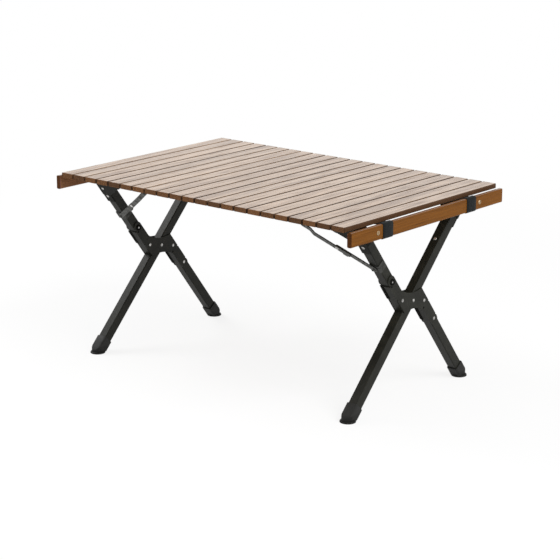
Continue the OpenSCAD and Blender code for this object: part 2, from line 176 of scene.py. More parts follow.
def buildFloor(s):
    half, pale = s["floorSize"]/2, s["floorWhite"]
    corners = [(-half, -half, 0), (half, -half, 0), (half, half, 0), (-half, half, 0)]
    mesh = bpy.data.meshes.new("floor")
    mesh.from_pydata(corners, [], [(0, 1, 2, 3)])
    floor = bpy.data.objects.new("floor", mesh)
    scene.collection.objects.link(floor)
    mat = bpy.data.materials.new("paleFloor")
    w = emptyTree(mat)
    matt = w.make("ShaderNodeBsdfDiffuse", None, {"Color": (pale, pale, pale, 1)})
    glow = w.make("ShaderNodeEmission", None, {"Color": white, "Strength": 1.0})
    away = w.make("ShaderNodeVectorMath", {"operation": "LENGTH"}, {0: place(w)}, out="Value")
    share = away.band(*s["clear"])*(1 - s["floorGlow"]) + s["floorGlow"]  # the shadow stays near the table
    both = w.make("ShaderNodeMixShader", None, {0: backdropRay(w)*share, 1: matt, 2: glow})
    w.make("ShaderNodeOutputMaterial", None, {"Surface": both})
    mesh.materials.append(mat)


def buildLamps(s):
    for name, spot, size, power in s["lamps"]:
        data = bpy.data.lights.new(name, "AREA")
        data.size, data.energy = size, power
        lamp = bpy.data.objects.new(name, data)
        aim = Vector(s["aim"]) - Vector(spot)
        lamp.matrix_world = Matrix.Translation(spot) @ aim.to_track_quat("-Z", "Y").to_matrix().to_4x4()
        scene.collection.objects.link(lamp)


buildWorld(studio)
buildFloor(studio)
buildLamps(studio)
print("studio set")

# stained wood: each slat is its own board, cut off by its number along the table
# the slats' edge and outerFlank colours are painted shade on the flanks between boards, outerFlank the lighter
# one for the two outer flanks
slatLook = {"pitch": 0.041, "start": -0.451, "coat": 1.0, "gloss": 0.22, "spread": 0.14, "streak": 1.0,
            "dark": (0.194, 0.104, 0.050), "pale": (0.476, 0.305, 0.175), "pore": (0.080, 0.035, 0.013),
            "end": (0.078, 0.030, 0.008), "endPale": (0.215, 0.094, 0.031),
            "flank": (0.0167, 0.0181), "edge": (0.030, 0.012, 0.004), "shadeAndGrime": 0.42,
            "outer": (0.4488, 0.4492), "outerFlank": (0.056, 0.022, 0.006)}
# the bars' inner-face multiplier paints a haze of reflected and bounced light
barLook = {"pitch": 0.6, "start": -0.6, "coat": 0.9, "gloss": 0.06, "spread": 0.05, "streak": 0.4,
           "dark": (0.118, 0.041, 0.0045), "pale": (0.205, 0.076, 0.0095), "pore": (0.075, 0.025, 0.004),
           "end": (0.060, 0.020, 0.005), "endPale": (0.14, 0.05, 0.013),
           "inner": (0.4574, 0.4582), "paintedHaze": (1.45, 1.87, 7.6), "top": (0.4708, 0.4714)}
grain = {"fibre": (330, 7, 330), "flame": (34, 1.5, 34), "pore": (900, 17, 900), "speckle": (700, 700, 700),
         "rings": 38.0, "drift": (3.0, 17.0, 5.0), "sawn": (0.2984, 0.2994)}


def chanceOf(w, number):  # a random value that stays the same for each number
    return w.make("ShaderNodeTexWhiteNoise", {"noise_dimensions": "1D"}, {"W": number}, out="Value")


def woodFinish(name, look):
    def boards(w):
        here = place(w)
        x, y, z = split(here)
        along = (x - look["start"])/look["pitch"]
        board = along.floor()
        chance = chanceOf(w, board)
        shift = w.make("ShaderNodeCombineXYZ", None, {k: chance*d for k, d in enumerate(grain["drift"])})
        fibre = here.scaled(grain["fibre"], shift).noise(4.0, 0.6)
        flame = here.scaled(grain["flame"], shift).noise(2.0, 0.5)
        rings = (flame*grain["rings"]).sine()*0.5 + 0.5
        pores = here.scaled(grain["pore"], shift).noise(2.0, 0.5).band(0.56, 0.70)
        tone = fibre*0.75 + (rings*0.28 - 0.14)*look["streak"] + flame*0.35 - 0.06
        tone = tone.band(0.15, 0.85)
        colour = tone.mix(look["dark"], look["pale"])
        colour = (pores*0.6).mix(colour, look["pore"])
        cut = abs(y).band(*grain["sawn"])
        speckle = here.scaled(grain["speckle"], shift).noise(2.0, 0.6).band(0.42, 0.62)
        colour = cut.mix(colour, speckle.mix(look["end"], look["endPale"]))
        light = (chance - 0.5)*look["spread"]*(cut*3.5 + 1.0) + 1.0
        colour = w.make("ShaderNodeHueSaturation", None, {"Color": colour, "Value": light})
        bare, lacquer = cut, (1 - cut)*(tone*0.35 + 0.65 - pores*0.45)
        if "flank" in look:  # slats: painted shade with some grime on the flanks where two boards meet, painted lighter on the first and last flank
            flank = (abs(along - board - 0.5)*look["pitch"]).band(*look["flank"])
            outer = abs(x).band(*look["outer"])
            # how strongly the painted shade and grime show: more on some boards and towards the right end
            shadeAndGrime = (chanceOf(w, board + 40.0) + x*0.7).band(-0.3, 0.9)
            shadeAndGrime = shadeAndGrime*look["shadeAndGrime"] + 1.0 - look["shadeAndGrime"]
            colour = (flank*shadeAndGrime).mix(colour, outer.mix(look["edge"], look["outerFlank"]))
            bare, lacquer = cut + flank, lacquer*(1 - flank)
        if "paintedHaze" in look:  # bars: the inner face painted paler and greyer, a painted haze of reflected and bounced light, and lacquer on top only
            inner = 1 - abs(x).band(*look["inner"])
            colour = inner.mix(colour, look["paintedHaze"], "MULTIPLY")
            lacquer = lacquer*z.band(*look["top"])
        grit = fibre*0.6 - pores*0.5 + cut*speckle*0.5
        return {"Base Color": colour, "Roughness": fibre*0.18 + pores*0.18 + bare*0.3 + 0.22,
                "Coat Weight": lacquer*look["coat"], "Normal": grit.bump(0.28, 0.0004)}
    return newFinish(name, {"Coat Roughness": 0.22, "Specular IOR Level": look["gloss"]}, boards)


slatWood = woodFinish("slatWood", slatLook)
barWood = woodFinish("barWood", barLook)

# powder coat and pressed plates: orange peel, dust and a little rubbing
frameLook = {"base": (0.0100, 0.0100, 0.0072), "dust": (0.027, 0.027, 0.020), "peel": 1500.0,
             "rough": 0.42, "gloss": 0.13}
plateLook = {"base": (0.0115, 0.0115, 0.0085), "dust": (0.030, 0.030, 0.023), "peel": 2100.0,
             "rough": 0.47, "gloss": 0.13}
# corner plates: a darker, less glossy copy of the plate coat, painted shade under the deck
shadedCornerLook = {"base": (0.0065, 0.0065, 0.0048), "dust": (0.018, 0.018, 0.014), "peel": 2100.0,
              "rough": 0.50, "gloss": 0.06}


def coatFinish(name, look):
    def coat(w):
        here = place(w)
        peel = here.noise(2.0, 0.5, look["peel"])
        cloud = here.noise(4.0, 0.6, 26.0)
        rub = here.scaled((240, 60, 60)).noise(3.0, 0.6).band(0.60, 0.80)
        colour = (cloud.band(0.35, 0.8)*0.55).mix(look["base"], look["dust"])
        colour = (rub*0.30).mix(colour, look["dust"])
        return {"Base Color": colour, "Roughness": cloud*0.14 + rub*0.10 + look["rough"] - 0.07,
                "Normal": peel.bump(0.10, 0.00012)}
    return newFinish(name, {"Specular IOR Level": look["gloss"]}, coat)


frameCoat = coatFinish("frameCoat", frameLook)
plateCoat = coatFinish("plateCoat", plateLook)
# the corner plates' darker coat is painted shade
cornerCoat = coatFinish("cornerCoat", shadedCornerLook)

# bare metals
rivetLook = {"pale": (0.66, 0.65, 0.63), "dull": (0.30, 0.29, 0.28), "rough": 0.24}
screwLook = {"pale": (0.50, 0.38, 0.24), "dull": (0.26, 0.18, 0.10), "rough": 0.34}
braceLook = {"pale": (0.138, 0.138, 0.130), "dull": (0.082, 0.082, 0.076), "rough": 0.38}
bandLook = {"pale": (0.074, 0.074, 0.068), "dull": (0.049, 0.049, 0.045), "rough": 0.42}
headLook = {"paint": (0.0115, 0.0115, 0.0085), "pale": (0.56, 0.55, 0.53), "dull": (0.24, 0.235, 0.225),
            "middle": 0.410, "low": 0.0153, "high": 0.0162, "rough": 0.28}


def metalFinish(name, look):
    def metal(w):
        here = place(w)
        cloud = here.noise(4.0, 0.65, 140.0)
        scratch = here.scaled((2600, 120, 900)).noise(2.0, 0.6)
        worn = (cloud*0.7 + scratch*0.3).band(0.38, 0.62)
        return {"Base Color": worn.mix(look["dull"], look["pale"]),
                "Roughness": (1 - worn)*0.22 + scratch*0.10 + look["rough"],
                "Normal": scratch.bump(0.08, 0.0001)}
    return newFinish(name, {"Metallic": 1.0}, metal)


def headFinish(w):  # rivets painted with their bracket and rubbed bright on top
    here = place(w)
    x = split(here)[0]
    bare = abs(abs(x) - headLook["middle"]).band(headLook["low"], headLook["high"])
    cloud = here.noise(4.0, 0.65, 160.0)
    metal = cloud.band(0.38, 0.62).mix(headLook["dull"], headLook["pale"])
    return {"Base Color": bare.mix(headLook["paint"], metal), "Metallic": bare,
            "Roughness": cloud*0.16 + headLook["rough"]}


rivetTop = newFinish("rivetTop", {"Specular IOR Level": 0.2}, headFinish)
rivetSteel = metalFinish("rivetSteel", rivetLook)
screwSteel = metalFinish("screwSteel", screwLook)
braceSteel = metalFinish("braceSteel", braceLook)
bandSteel = metalFinish("bandSteel", bandLook)

# moulded boots and plugs, and a near-black finish: the rubber bosses' own colour, and painted shade on the
# brackets' dark pads and eyelets
blackRubberAndShadeLook = {"base": (0.0025, 0.0025, 0.0022), "dust": (0.007, 0.007, 0.006)}
# the boots' toe colour is painted shade on their upright lower part
bootLook = {"base": (0.0125, 0.0125, 0.0115), "dust": (0.032, 0.031, 0.028), "toe": (0.0035, 0.0035, 0.0030),
            "flange": (0.0036, 0.0047), "knee": (0.013, 0.021)}


def bootFinish(w):
    here = place(w)
    z = split(here)[2]
    grit = here.noise(3.0, 0.6, 1900.0)
    cloud = here.noise(4.0, 0.6, 60.0)
    scuff = (1 - z.band(*bootLook["flange"]))*cloud.band(0.35, 0.7)
    toe = z.band(*bootLook["flange"])*(1 - z.band(*bootLook["knee"]))  # painted shade, darker from the knee down to the sole
    colour = (scuff*0.5 + cloud*0.12).mix(bootLook["base"], bootLook["dust"])
    colour = (toe*0.85).mix(colour, bootLook["toe"])
    return {"Base Color": colour, "Roughness": cloud*0.2 + scuff*0.15 + 0.48,
            "Normal": grit.bump(0.16, 0.0002)}


# near black: the bosses' own rubber colour, and painted shade on the pads and eyelets
def blackRubberAndShadeFinish(w):
    cloud = place(w).noise(4.0, 0.6, 300.0)
    return {"Base Color": cloud.mix(blackRubberAndShadeLook["base"], blackRubberAndShadeLook["dust"]), "Roughness": cloud*0.2 + 0.7}


bootRubber = newFinish("bootRubber", {"Specular IOR Level": 0.22}, bootFinish)
padRubber = newFinish("padRubber", {"Specular IOR Level": 0.05}, blackRubberAndShadeFinish)

# webbing: the UV map runs in metres, across the strap and along it
webLook = {"base": (0.0034, 0.0042, 0.0044), "light": (0.013, 0.0155, 0.0158), "rib": 0.0026, "pick": 0.0013}


def webFinish(w):
    u = w.make("ShaderNodeUVMap", {"uv_map": "strapMap"})
    across, along = split(u)[:2]
    lane = (across/webLook["rib"]).floor()
    skew = w.calc("MODULO", lane, 2.0)*2.0 - 1.0
    rib = (across*(2*math.pi/webLook["rib"])).sine()*0.5 + 0.5
    weft = ((along + skew*across*0.6)*(2*math.pi/webLook["pick"])).sine()*0.5 + 0.5
    fuzz = place(w).noise(4.0, 0.7, 900.0)
    height = rib*0.45 + weft*0.55
    colour = (height*0.6 + fuzz*0.35).band(0.2, 1.0).mix(webLook["base"], webLook["light"])
    return {"Base Color": colour, "Roughness": 0.92 - height*0.16,
            "Normal": (height + fuzz*0.3).bump(0.55, 0.0005)}


webbing = newFinish("webbing", {"Specular IOR Level": 0.15, "Sheen Weight": 0.04}, webFinish)

# braided sleeve of the elastic cords, and sewing thread
cordLook = {"base": (0.010, 0.010, 0.011), "light": (0.055, 0.055, 0.058), "offset": 0.225, "height": 0.476,
            "strands": 8.0, "braid": 0.0022}
threadLook = {"base": (0.018, 0.019, 0.022), "light": (0.10, 0.105, 0.11)}


def cordFinish(w):
    x, y, z = split(place(w))
    turn = w.calc("ARCTAN2", z - cordLook["height"], abs(y) - cordLook["offset"])*cordLook["strands"]
    run = x*(2*math.pi/cordLook["braid"])
    braid = (run + turn).sine()*(run - turn).sine()*0.5 + 0.5
    return {"Base Color": braid.mix(cordLook["base"], cordLook["light"]), "Roughness": 0.85 - braid*0.15,
            "Normal": braid.bump(0.5, 0.0003)}


def threadFinish(w):
    twist = place(w).scaled((2400, 2400, 2400)).noise(2.0, 0.6)
    return {"Base Color": twist.band(0.35, 0.7).mix(threadLook["base"], threadLook["light"]),
            "Roughness": twist*0.2 + 0.6, "Normal": twist.bump(0.3, 0.0001)}


elasticCord = newFinish("elasticCord", {"Sheen Weight": 0.2}, cordFinish)
sewingThread = newFinish("sewingThread", {"Sheen Weight": 0.2}, threadFinish)
print("finishes mixed")

# every CAD part gets its own finish, by how its name starts
dressing = [("slat_", slatWood), ("end_bar", barWood), ("bar_studs", screwSteel), ("strap_loops", webbing),
            ("deck_cords", elasticCord), ("centre_bracket", plateCoat), ("centre_rivets", rivetTop),
            ("near_foot", bootRubber), ("far_foot", bootRubber), ("near_corner", cornerCoat),
            ("far_corner", cornerCoat), ("near_rail_pin", rivetSteel), ("far_rail_pin", rivetSteel),
            ("brace_saddle", bandSteel), ("brace_", braceSteel), ("near_", frameCoat), ("far_", frameCoat)]


def dress(obj, mat):
    obj.data.materials.clear()
    obj.data.materials.append(mat)


for name, obj in nodes.items():
    dress(obj, next(mat for start, mat in dressing if name.startswith(start)))
print("CAD parts dressed")


def addPiece(name, mesh, mat):
    obj = bpy.data.objects.new(name, mesh)
    scene.collection.objects.link(obj)
    dress(obj, mat)
    return obj


def closeMesh(bm, name, angle=None):  # edges sharper than the angle stay crisp
    bmesh.ops.recalc_face_normals(bm, faces=bm.faces)
    mesh = bpy.data.meshes.new(name)
    bm.to_mesh(mesh)
    bm.free()
    if angle:
        mesh.shade_smooth()
        mesh.set_sharp_from_angle(angle=math.radians(angle))
    return mesh


handed = (("right", 1), ("left", -1))
sideways, lengthways = (0, 1, 0), (1, 0, 0)
quarter, tiny = math.pi/2, 1e-6  # a quarter turn, and a length that counts as none
crease = {"strap": 50, "turned": 35, "plug": 35, "boot": 32}

# webbing straps: under the last slat, down the bar's inner side, round it and back to the seam
strapMake = {"width": 0.0376, "thick": 0.0014, "edge": 0.0004, "flat": 0.34, "off": 0.0009, "tailFrom": 0.4258,
             "tailZ": 0.4691, "tailStep": 0.004, "tailSteps": 6, "drop": 0.0042, "turnSteps": 7,
             "barX": 0.463, "barZ": 0.455, "barT": 0.012, "barH": 0.034, "barRound": 0.003,
             "yPlaces": (("near", -0.166), ("far", 0.166)), "bend": (0.4505, 0.4556), "bendZ": 0.46}


def strapPath(s):
    halfT, halfH = s["barT"]/2 + s["off"], s["barH"]/2 + s["off"]
    radius, drop, inX = s["barRound"] + s["off"], s["drop"], s["barX"] - halfT
    turns = [quarter*k/(s["turnSteps"] - 1) for k in range(s["turnSteps"])]
    points = [(s["tailFrom"] + k*s["tailStep"], s["tailZ"]) for k in range(s["tailSteps"])]
    for a in turns:  # the tail turns down the bar in an easy bend
        points.append((inX - drop + drop*math.sin(a), s["tailZ"] - drop + drop*math.cos(a)))
    for sx, sz, start in ((-1, -1, 2), (1, -1, 3), (1, 1, 0), (-1, 1, 1)):  # round the bar, in quarter turns
        cx, cz = s["barX"] + sx*(halfT - radius), s["barZ"] + sz*(halfH - radius)
        for a in turns[:-2] if (sx, sz) == (-1, 1) else turns:  # the last corner stops short at the tail
            turn = quarter*start + a
            points.append((cx + radius*math.cos(turn), cz + radius*math.sin(turn)))
    return points


def strapMesh(name, s, y, side):
    path = [Vector((x, 0, z)) for x, z in strapPath(s)]
    half, edge, thick = s["width"]/2, s["edge"], s["thick"]/2
    flat = half*s["flat"]
    lower = [(-half, -thick + edge), (-half + edge, -thick), (-flat, -thick), (flat, -thick),
             (half - edge, -thick), (half, -thick + edge)]
    ring = lower + [(-v, -h) for v, h in lower]
    bm = bmesh.new()
    uv = bm.loops.layers.uv.new("strapMap")
    rows, run = [], [0.0]
    for k, p in enumerate(path):
        ahead = (path[min(k + 1, len(path) - 1)] - path[max(k - 1, 0)]).normalized()
        out = Vector((ahead.z, 0, -ahead.x))
        if k:
            run.append(run[-1] + (p - path[k - 1]).length)
        rows.append([bm.verts.new((side*(p + out*h).x, y + side*v, (p + out*h).z)) for v, h in ring])
    count = len(ring)
    for k in range(len(rows) - 1):
        for i in range(count):
            j = (i + 1) % count
            face = bm.faces.new((rows[k][i], rows[k][j], rows[k + 1][j], rows[k + 1][i]))
            for loop, (a, b) in zip(face.loops, ((k, i), (k, j), (k + 1, j), (k + 1, i))):
                loop[uv].uv = (ring[b][0] + half, run[a])
    for row, a in ((rows[0], run[0]), (rows[-1], run[-1])):
        face = bm.faces.new(row)
        for loop, (v, _) in zip(face.loops, ring):
            loop[uv].uv = (v + half, a)
    return closeMesh(bm, name, crease["strap"])


def strapAcross(piece, side):  # right straps move with the deck's end, left straps are baked in place
    if side > 0:
        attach(piece, "deck_end")
    else:
        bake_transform(piece)


for sideName, side in handed:
    for end, y in strapMake["yPlaces"]:
        name = "strap_" + end + "_" + sideName
        strap = addPiece(name, strapMesh(name, strapMake, y, side), webbing)
        strapAcross(strap, side)
        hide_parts("strap_loops_" + sideName)
print("straps looped")


# node trees: each has named inputs, and its result becomes a plain mesh
def newTree(name, inputs):
    tree = bpy.data.node_groups.new(name, "GeometryNodeTree")
    tree.is_modifier = True
    for way in ("INPUT", "OUTPUT"):
        tree.interface.new_socket("Geometry", in_out=way, socket_type="NodeSocketGeometry")
    for label, kind in inputs.items():
        tree.interface.new_socket(label, in_out="INPUT", socket_type="NodeSocket" + kind)
    return Wire(tree).make("NodeGroupInput")


def endTree(source, shape):
    solid = source.make("GeometryNodeRealizeInstances", None, {"Geometry": shape})
    painted = source.make("GeometryNodeSetMaterial", None,
                          {"Geometry": solid, "Material": source.pick("Finish")})
    source.make("NodeGroupOutput", None, {0: painted})
    return source.tree


def runTree(tree, name, mesh, values):
    obj = bpy.data.objects.new(name, mesh)
    scene.collection.objects.link(obj)
    mod = obj.modifiers.new("make", "NODES")
    mod.node_group = tree
    for item in tree.interface.items_tree:
        if item.in_out == "INPUT" and item.name in values:
            mod[item.identifier] = values[item.name]
    bpy.context.view_layer.update()
    graph = bpy.context.evaluated_depsgraph_get()
    made = bpy.data.meshes.new_from_object(obj.evaluated_get(graph))
    obj.modifiers.remove(mod)
    obj.data = made
    made.name = name
    return obj


def fastenerRow():  # a turned head on each point, standing along the point's own direction
    source = newTree("fastenerRow", {"Head": "Object", "Size": "Float", "Finish": "Material"})
    head = source.make("GeometryNodeObjectInfo", None, {"Object": source.pick("Head")}, out="Geometry")
    way, side = (source.make("GeometryNodeInputNamedAttribute", {"data_type": "FLOAT_VECTOR"},
                             {"Name": label}, out="Attribute") for label in ("way", "side"))
    turn = source.make("FunctionNodeAlignRotationToVector", {"axis": "Z"}, {"Vector": way})
    turn = source.make("FunctionNodeAlignRotationToVector", {"axis": "X", "pivot_axis": "Z"},
                       {"Rotation": turn, "Vector": side})
    row = source.make("GeometryNodeInstanceOnPoints", None,
                      {"Points": source.pick("Geometry"), "Instance": head, "Rotation": turn,
                       "Scale": source.pick("Size")})
    return endTree(source, row)


def stitchRun():  # a short thread on each step along the line
    source = newTree("stitchRun", {"Step": "Float", "Thread": "Float", "Length": "Float", "Finish": "Material"})
    line = source.make("GeometryNodeMeshToCurve", None, {"Mesh": source.pick("Geometry")})
    dots = source.make("GeometryNodeCurveToPoints", {"mode": "LENGTH"},
                       {"Curve": line, "Length": source.pick("Step")})
    ball = source.make("GeometryNodeMeshUVSphere", None, {"Segments": 8, "Rings": 6, "Radius": 0.5})
    size = source.make("ShaderNodeCombineXYZ", None,
                       {0: source.pick("Thread"), 1: source.pick("Thread"), 2: source.pick("Length")})
    sewn = source.make("GeometryNodeInstanceOnPoints", None,
                       {"Points": dots, "Instance": ball, "Rotation": dots.pick("Rotation"), "Scale": size})
    return endTree(source, sewn)


def cordSleeve():  # a round sleeve along each line
    source = newTree("cordSleeve", {"Radius": "Float", "Finish": "Material"})
    line = source.make("GeometryNodeMeshToCurve", None, {"Mesh": source.pick("Geometry")})
    ring = source.make("GeometryNodeCurvePrimitiveCircle", None,
                       {"Resolution": 14, "Radius": source.pick("Radius")})
    sleeve = source.make("GeometryNodeCurveToMesh", None,
                         {"Curve": line, "Profile Curve": ring, "Fill Caps": True})
    return endTree(source, sleeve)


fastenerTree, stitchTree, cordTree = fastenerRow(), stitchRun(), cordSleeve()
print("node trees built")


def lineMesh(name, runs):
    verts, edges = [], []
    for run in runs:
        start = len(verts)
        verts += run
        edges += [(start + k, start + k + 1) for k in range(len(run) - 1)]
    mesh = bpy.data.meshes.new(name)
    mesh.from_pydata(verts, edges, [])
    return mesh


# elastic cords, one piece in each gap
cordMake = {"count": 21, "middle": 11, "radius": 0.0015, "y": 0.225, "z": 0.476, "pitch": 0.041,
            "reach": 0.0055, "steps": 8, "bend": 0.0015}


def buildCords(c):
    for k in range(1, c["count"] + 1):
        x, z = (k - c["middle"])*c["pitch"], c["z"]
        runs = [[(x + c["reach"]*(2*i/c["steps"] - 1), y, z) for i in range(c["steps"] + 1)]
                for y in (-c["y"], c["y"])]
        name = "cords_%02d" % k
        cords = runTree(cordTree, name, lineMesh(name, runs), {"Radius": c["radius"], "Finish": elasticCord})
        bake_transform(cords)
        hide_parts("deck_cords")


buildCords(cordMake)
print("cords strung")


def turned(name, profile, steps=28, dent=None):  # from the axis outwards and down, as (radius, height)
    bm = bmesh.new()
    rings = []
    for r, z in profile:
        spokes = [0.0] if r < tiny else [2*math.pi*k/steps for k in range(steps)]
        places = [(r*math.cos(a), r*math.sin(a)) for a in spokes]
        rings.append([bm.verts.new((x, y, z - (dent(x, y) if dent and z > 0 else 0))) for x, y in places])
    if profile[0][0] > tiny:  # a ring closes on itself
        rings.append(rings[0])
    for a, b in zip(rings, rings[1:]):
        for k in range(steps):
            j = (k + 1) % steps
            corners = [a[k % len(a)], b[k % len(b)], b[j % len(b)], a[j % len(a)]]
            face = list(dict.fromkeys(corners))
            if len(face) > 2:
                bm.faces.new(face)
    return closeMesh(bm, name, crease["turned"])


def domeProfile(s, steps=7):  # a low dome on a short rim
    turns = [quarter*k/(steps - 1) for k in range(steps)]
    curve = [(s["radius"]*math.sin(a), s["rim"] + s["height"]*math.cos(a)) for a in turns]
    return curve + [(s["radius"], 0.0), (0.0, 0.0)]


def pointMesh(name, spots):
    mesh = bpy.data.meshes.new(name)
    mesh.from_pydata([s[0] for s in spots], [], [])
    for k, label in ((1, "way"), (2, "side")):
        layer = mesh.attributes.new(label, "FLOAT_VECTOR", "POINT")
        layer.data.foreach_set("vector", [c for s in spots for c in s[k]])
    return mesh


def fasteners(name, head, spots, finish):
    obj = runTree(fastenerTree, name, pointMesh(name, spots), {"Head": head, "Size": 1.0, "Finish": finish})
    return obj


def template(mesh):  # a shape that the trees set in place, taken out again afterwards
    obj = bpy.data.objects.new(mesh.name, mesh)
    scene.collection.objects.link(obj)
    return obj


# places on the two leg frames, as the CAD source has them
legs = {"railY": 0.198, "railZ": 0.45399, "near": math.radians(37.73), "far": math.radians(43.52), "x": 0.410}


def onFrame(t, way):  # along the table, up the leg from its rail, and out of the frame
    def spot(x, up, out):
        return Vector((x, way*(legs["railY"] + up*math.sin(t) + out*math.cos(t)),
                       legs["railZ"] + up*math.cos(t) - out*math.sin(t)))
    return spot


onNear, onFar = onFrame(legs["near"], -1), onFrame(legs["far"], 1)
frames = (("near", onNear), ("far", onFar))

# rivets that hold the corner plates on the legs
cornerRivet = {"radius": 0.0042, "height": 0.0016, "rim": 0.0004, "ups": (-0.020, -0.049), "out": 0.0144,
               "legUp": -0.1225, "legOut": 0.0124}


def buildCornerRivets(c):
    head = template(turned("rivetHead", domeProfile(c)))
    for frameName, spot in frames:
        outward = spot(0, 0, 1) - spot(0, 0, 0)
        for sideName, side in handed:
            spots = [(spot(side*legs["x"], up, c["out"]), outward, lengthways) for up in c["ups"]]
            if frameName == "far":  # one more through the one-piece leg, headed on its inner face
                spots.append((spot(side*legs["x"], c["legUp"], -c["legOut"]), -outward, lengthways))
            rivets = fasteners("corner_rivets_%s_%s" % (frameName, sideName), head, spots, rivetSteel)
            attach(rivets, frameName + "_" + sideName)
    bpy.data.objects.remove(head)


buildCornerRivets(cornerRivet)

# bright heads on the knuckles of the braces
braceRivet = {"radius": 0.0047, "height": 0.0012, "rim": 0.0003, "x": 0.330128, "up": -0.06356, "out": 0.0198}


def buildBraceRivets(c):
    head = template(turned("braceRivet", domeProfile(c)))
    outward = onNear(0, 0, 1) - onNear(0, 0, 0)
    for sideName, side in handed:
        spots = [(onNear(side*c["x"], c["up"], c["out"]), outward, lengthways)]
        rivet = fasteners("brace_rivet_" + sideName, head, spots, rivetSteel)
        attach(rivet, "brace_top_" + sideName)
    bpy.data.objects.remove(head)


buildBraceRivets(braceRivet)

# moulded bosses round the upper outer rivets of the centre brackets
boss = {"inner": 0.0027, "outer": 0.0076, "height": 0.0026, "round": 0.0008, "up": -0.1841, "face": 0.01475}


def buildBosses(b):
    r = b["round"]
    ring = [(b["inner"], 0.0), (b["inner"], b["height"] - r), (b["inner"] + r, b["height"]),
            (b["outer"] - r, b["height"]), (b["outer"] - r*0.3, b["height"] - r*0.3),
            (b["outer"], b["height"] - r), (b["outer"], 0.0)]
    head = template(turned("bossRing", ring, 36))
    for sideName, side in handed:
        x = side*legs["x"]
        spots = [(onNear(x + way*b["face"], b["up"], 0), (way, 0, 0), sideways) for way in (1, -1)]
        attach(fasteners("bracket_bosses_" + sideName, head, spots, padRubber), "near_" + sideName)
    bpy.data.objects.remove(head)


buildBosses(boss)

# small dark discs at the ends of the brackets' folds: painted shade in the relief notches there
eyelet = {"radius": 0.0027, "hole": 0.0021, "lip": 0.0002, "floor": 0.00006, "face": 0.01475,
          "places": ((-0.1925, 0.0078), (-0.334, -0.0464))}


def buildNotchShades(e):
    profile = [(0.0, e["floor"]), (e["hole"], e["floor"]), (e["hole"] + e["lip"], e["lip"]),
               (e["radius"] - e["lip"]/2, e["lip"]), (e["radius"], 0.0), (0.0, 0.0)]
    head = template(turned("eyelet", profile, 24))
    for sideName, side in handed:
        spots = [(onNear(side*legs["x"] + way*e["face"], up, out), (way, 0, 0), sideways)
                 for way in (1, -1) for up, out in e["places"]]
        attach(fasteners("bracket_eyelets_" + sideName, head, spots, padRubber), "near_" + sideName)
    bpy.data.objects.remove(head)


buildNotchShades(eyelet)

# thin sheets of painted shade on the folded webs of the centre brackets, where the photograph shows a dark
# strip
shadeSheet = {"pivot": -0.2861, "from": 0.0515, "to": 0.0965, "half": 0.0050, "shift": -0.0092, "corner": 0.003,
       "steps": 5, "thick": 0.0008, "bevel": 0.0003, "sink": 0.0002, "upper": 0.0145, "lower": -0.0435}


def shadeSheetMesh(name, p, x, low, high, face):
    middle, reach = (low + high)/2, (high - low)/2
    bm = bmesh.new()
    rings = []
    for inset, lift in ((0.0, -p["sink"]), (0.0, p["thick"] - p["bevel"]), (p["bevel"], p["thick"])):
        ring = []
        for k, (sx, sy) in enumerate(((1, 1), (-1, 1), (-1, -1), (1, -1))):
            for step in range(p["steps"] + 1):
                a = quarter*(k + step/p["steps"])
                across = sx*(p["half"] - p["corner"]) + (p["corner"] - inset)*math.cos(a)
                along = sy*(reach - p["corner"]) + (p["corner"] - inset)*math.sin(a)
                ring.append(bm.verts.new(onNear(x + across, p["pivot"] + middle + along, face + lift)))
        rings.append(ring)
    for a, b in zip(rings, rings[1:]):
        for k in range(len(a)):
            bm.faces.new((a[k - 1], a[k], b[k], b[k - 1]))
    bm.faces.new(rings[0])
    bm.faces.new(rings[-1])
    return closeMesh(bm, name)


# the pads are painted shade, not a part of the table
def buildShadeSheets(p):
    for sideName, side in handed:
        x = side*legs["x"] + p["shift"]
        for half, low, high, face in (("upper", p["from"], p["to"], p["upper"]),
                                      ("lower", -p["to"], -p["from"], p["lower"])):
            name = "bracket_pad_%s_%s" % (half, sideName)
            piece = addPiece(name, shadeSheetMesh(name, p, x, low, high, face), padRubber)
            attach(piece, "near_" + sideName)


buildShadeSheets(shadeSheet)

# cross-headed screws: through the end bars, with the studs behind, and up into the last slats
barScrew = {"radius": 0.0055, "height": 0.0017, "rim": 0.0003, "x": 0.469, "y": 0.202, "z": 0.455,
            "stud": 0.004, "studLength": 0.012, "studFrom": 0.457, "groove": 0.0005,
            "waist": (0.62, 0.58, 0.30, 0.26)}  # shares of the stud's length
strapScrew = {"radius": 0.0036, "height": 0.0013, "rim": 0.0003, "x": 0.4345, "apart": 0.0095, "z": 0.4684}
recess = {"long": 0.52, "wide": 0.17, "deep": 0.55}  # shares of the head's radius and height


def crossHead(name, s):
    reach, width = recess["long"]*s["radius"], recess["wide"]*s["radius"]

    def dent(x, y):
        u, v = min(abs(x), abs(y)), max(abs(x), abs(y))
        return recess["deep"]*s["height"] if u < width and v < reach else 0.0
    return template(turned(name, domeProfile(s, 12), 48, dent))


def studMesh(s):
    r, l, g = s["stud"], s["studLength"], s["groove"]
    a, b, c, d = (l*share for share in s["waist"])
    return turned("stud", [(0.0, l), (r - 2*g, l), (r, l - 2*g), (r, a), (r - g, b), (r - g, c), (r, d),
                           (r, 0.0), (0.0, 0.0)], 32)


